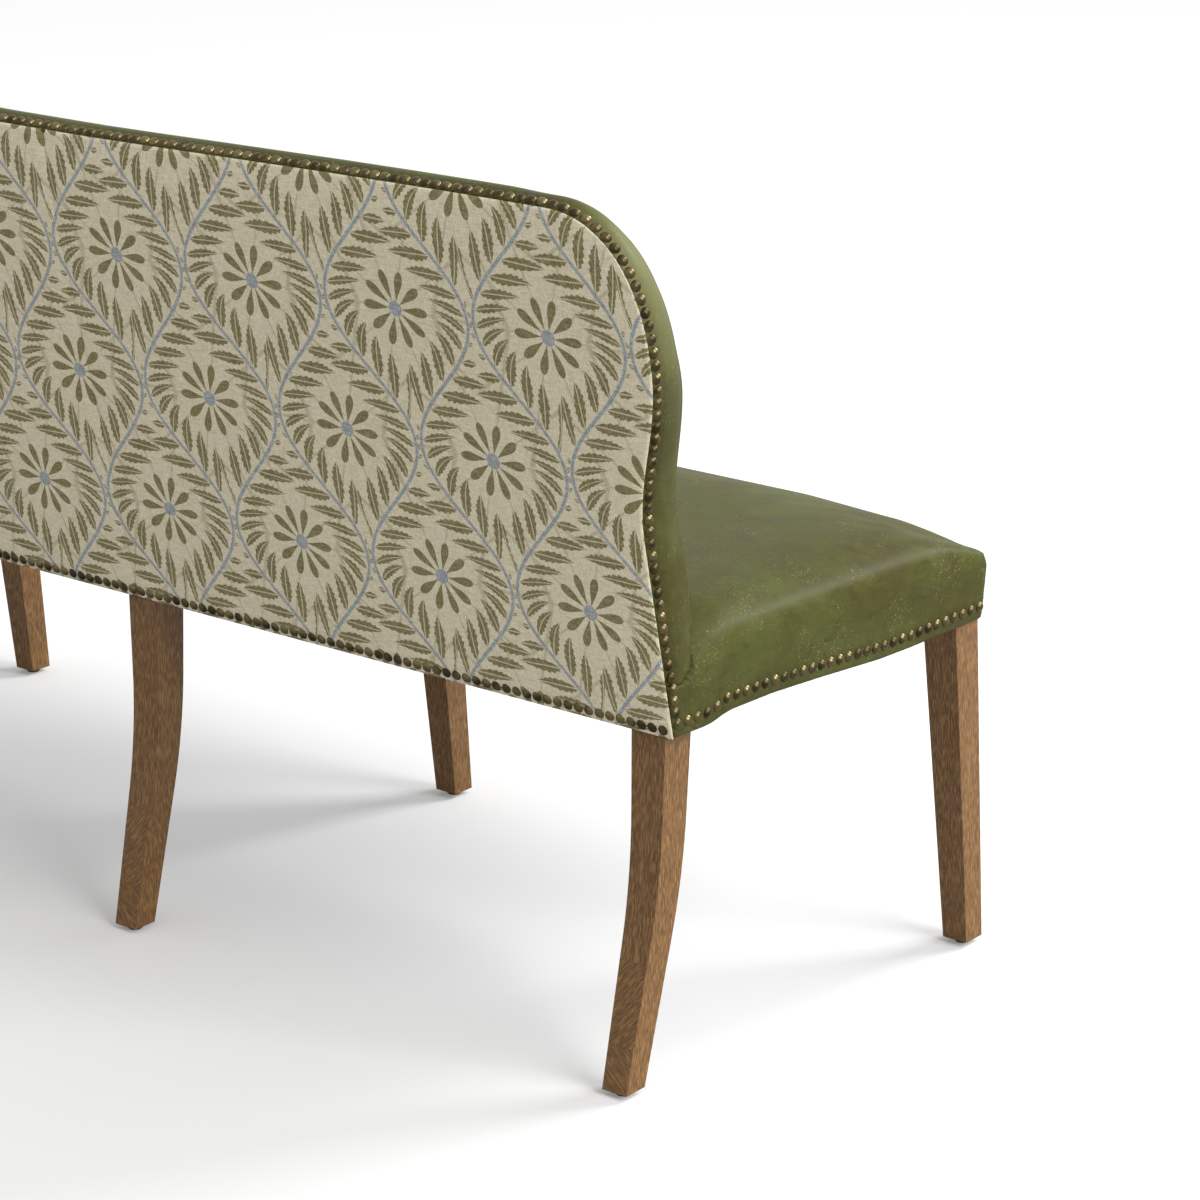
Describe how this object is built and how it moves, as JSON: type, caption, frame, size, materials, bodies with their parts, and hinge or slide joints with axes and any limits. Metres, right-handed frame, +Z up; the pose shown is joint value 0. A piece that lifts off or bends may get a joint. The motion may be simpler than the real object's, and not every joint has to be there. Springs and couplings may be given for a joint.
{
  "type": "bench",
  "caption": "Upholstered dining bench with a raked, flared back, soft leather seat, nailed edges and slender wooden legs.",
  "frame": {"origin": "on the floor, under the middle of the bench's footprint", "axes": "+X along the bench's length, -Y is the side that the sitter faces, +Y is the rear panel's side, +Z up"},
  "size_m": [1.5256, 0.6339, 0.9075],
  "materials": {
    "leg_oak": "weathered oak with a thin pale grain filler, matt lacquer",
    "frame_beech": "sawn beech",
    "seat_leather": "semi-gloss waxed leather, mottled olive green",
    "panel_fabric": "linen twill with a printed leaf pattern in olive and grey blue",
    "foam": "polyurethane foam wrapped in wadding",
    "wadding": "bonded polyester wadding",
    "webbing": "woven elastic webbing",
    "hessian": "woven jute",
    "dust_cloth": "black spun-bonded cloth",
    "nail_brass": "antiqued brass",
    "glide_plastic": "moulded brown plastic",
    "screw_steel": "zinc plated steel"
  },
  "bodies": {
    "root": {"rear_leg_left": "leg_oak", "rear_leg_centre": "leg_oak", "rear_leg_right": "leg_oak", "front_leg_left": "leg_oak", "front_leg_centre": "leg_oak", "front_leg_right": "leg_oak", "glides": "glide_plastic", "front_rail_left": "frame_beech", "front_rail_right": "frame_beech", "rear_rail_left": "frame_beech", "rear_rail_right": "frame_beech", "side_rail_left": "frame_beech", "side_rail_right": "frame_beech", "centre_rail": "frame_beech", "rail_dowels": "frame_beech", "corner_blocks": "frame_beech", "block_screws": "screw_steel", "back_corner_left": "frame_beech", "back_corner_right": "frame_beech", "back_top_rail": "frame_beech", "back_lower_rail_left": "frame_beech", "back_lower_rail_right": "frame_beech", "back_dowels": "frame_beech", "seat_webbing_cross": "webbing", "seat_webbing_long": "webbing", "seat_hessian": "hessian", "back_webbing_upright": "webbing", "back_webbing_long": "webbing", "back_hessian": "hessian", "seat_foam": "foam", "back_foam": "foam", "seat_cover": "seat_leather", "back_cover": "seat_leather", "rear_lining": "wadding", "rear_panel_left": "panel_fabric", "rear_panel_right": "panel_fabric", "dust_cover": "dust_cloth", "nails_back_edge": "nail_brass", "nails_rear_bottom": "nail_brass", "nails_side_left": "nail_brass", "nails_side_right": "nail_brass", "nails_front": "nail_brass"}
  },
  "joints": []
}
